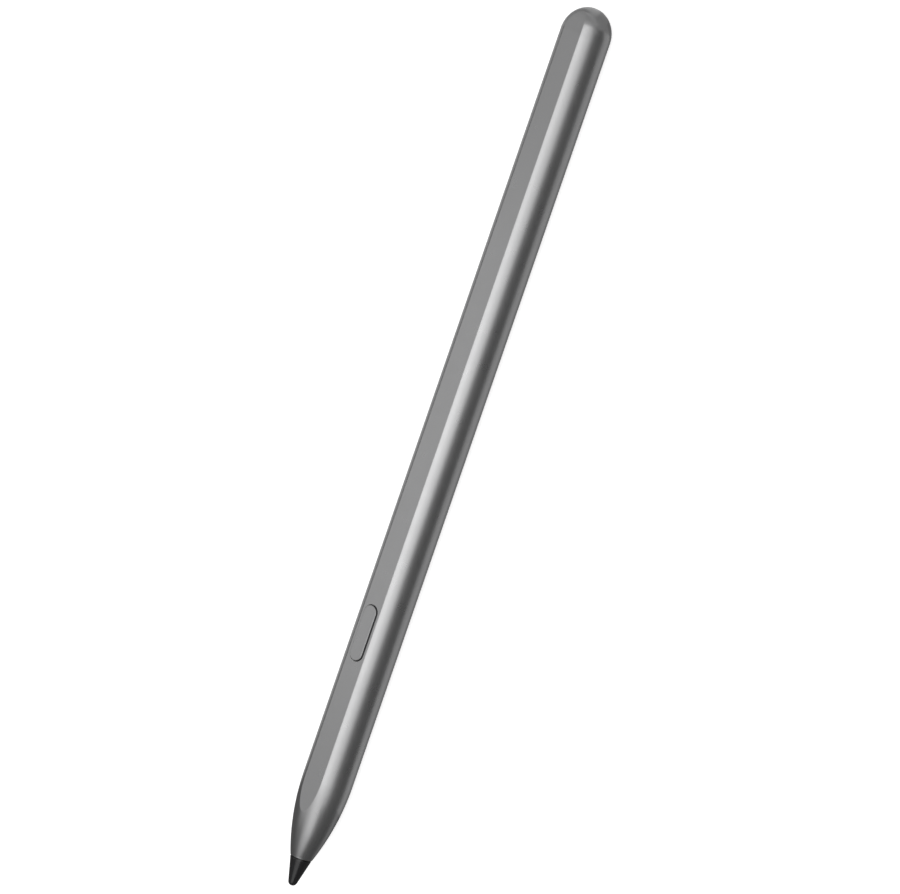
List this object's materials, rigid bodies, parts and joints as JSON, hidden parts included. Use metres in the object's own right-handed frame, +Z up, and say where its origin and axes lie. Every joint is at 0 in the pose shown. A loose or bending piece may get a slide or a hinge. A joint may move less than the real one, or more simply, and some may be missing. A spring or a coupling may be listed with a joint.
{
  "type": "stylus pen",
  "caption": "Slim grey tablet stylus with a replaceable conical black nib, a tapered nose, a pill-shaped button on a flat along one side and a domed tail.",
  "frame": {"origin": "middle of the length, on the line where the round back touches the surface it lies on", "axes": "+X along the pen from the nib's tip to the tail, +Z up and out of the flat, +Y across"},
  "size_m": [0.1614, 0.0088, 0.0088],
  "materials": {
    "grey_lacquer": "satin metallic grey lacquer on moulded plastic",
    "button_lacquer": "satin metallic grey lacquer on the moulded key",
    "nib_plastic": "fine matt black wear-resistant plastic",
    "carbon_core": "carbon-filled conductive plastic",
    "turned_brass": "turned brass",
    "bright_steel": "bright stainless steel",
    "magnet_nickel": "nickel plating on sintered magnet",
    "cast_chassis": "die-cast, bead-blasted",
    "cover_plastic": "black glass-filled plastic",
    "guide_plastic": "white low-friction plastic",
    "board_laminate": "green solder mask on glass laminate",
    "chip_resin": "black moulding resin",
    "ceramic_white": "pale ceramic",
    "capacitor_ceramic": "tan ceramic with tinned ends",
    "flex_film": "amber polyimide film",
    "copper": "bare copper",
    "cell_can": "drawn metal can",
    "cell_film": "blue shrink sleeve",
    "seal_rubber": "black silicone",
    "ferrite": "dark sintered sheet"
  },
  "bodies": {
    "barrel": {"barrel": "grey_lacquer", "tail_cap": "grey_lacquer", "tail_seal": "seal_rubber", "tail_pad": "seal_rubber", "return_spring": "bright_steel", "tip_guide": "guide_plastic", "tilt_electrode": "copper", "rod_guide": "guide_plastic", "sensor_housing": "cover_plastic", "fixed_plate": "ceramic_white", "sensor_cap": "cover_plastic", "sensor_flex": "flex_film", "sensor_connector": "chip_resin", "chassis_tray": "cast_chassis", "front_cover": "cover_plastic", "rear_cover": "cover_plastic", "chassis_screws": "bright_steel", "front_magnets": "magnet_nickel", "rear_magnets": "magnet_nickel", "main_board": "board_laminate", "board_capacitors": "capacitor_ceramic", "chip_antenna": "ceramic_white", "motion_sensor": "chip_resin", "radio_chip": "chip_resin", "crystal": "magnet_nickel", "power_chip": "chip_resin", "button_bracket": "cover_plastic", "switch_body": "chip_resin", "switch_dome": "bright_steel", "battery_connector": "chip_resin", "battery_flex": "flex_film", "cell_board": "board_laminate", "battery_cell": "cell_can", "cell_wrap": "cell_film", "cell_tab": "magnet_nickel", "charging_coil": "copper", "ferrite_sheet": "ferrite", "coil_flex": "flex_film"},
    "pressure_shaft": {"force_rod": "guide_plastic", "nib_collet": "turned_brass", "moving_plate": "bright_steel"},
    "nib": {"nib": "nib_plastic", "nib_core": "carbon_core"},
    "side_button": {"side_button": "button_lacquer"},
    "switch_plunger": {"switch_plunger": "guide_plastic"}
  },
  "joints": [
    {"name": "nib_press", "type": "slide", "parent": "barrel", "child": "pressure_shaft", "axis": [1, 0, 0], "range_m": [0, 0.00015], "stiffness_N_per_m": 8000, "springref_m": -0.00005, "deforming": ["return_spring"]},
    {"name": "nib_pull", "type": "slide", "parent": "pressure_shaft", "child": "nib", "axis": [-1, 0, 0], "range_m": [0, 0.013]},
    {"name": "button_press", "type": "slide", "parent": "barrel", "child": "side_button", "axis": [0, 0, -1], "range_m": [0, 0.00025], "stiffness_N_per_m": 6000, "springref_m": -0.00005, "deforming": ["switch_dome"]},
    {"name": "plunger_press", "type": "slide", "parent": "barrel", "child": "switch_plunger", "axis": [0, 0, -1], "range_m": [0, 0.00025]}
  ],
  "couplings": [
    {"joint": "plunger_press", "follows": "button_press", "ratio": 1}
  ]
}
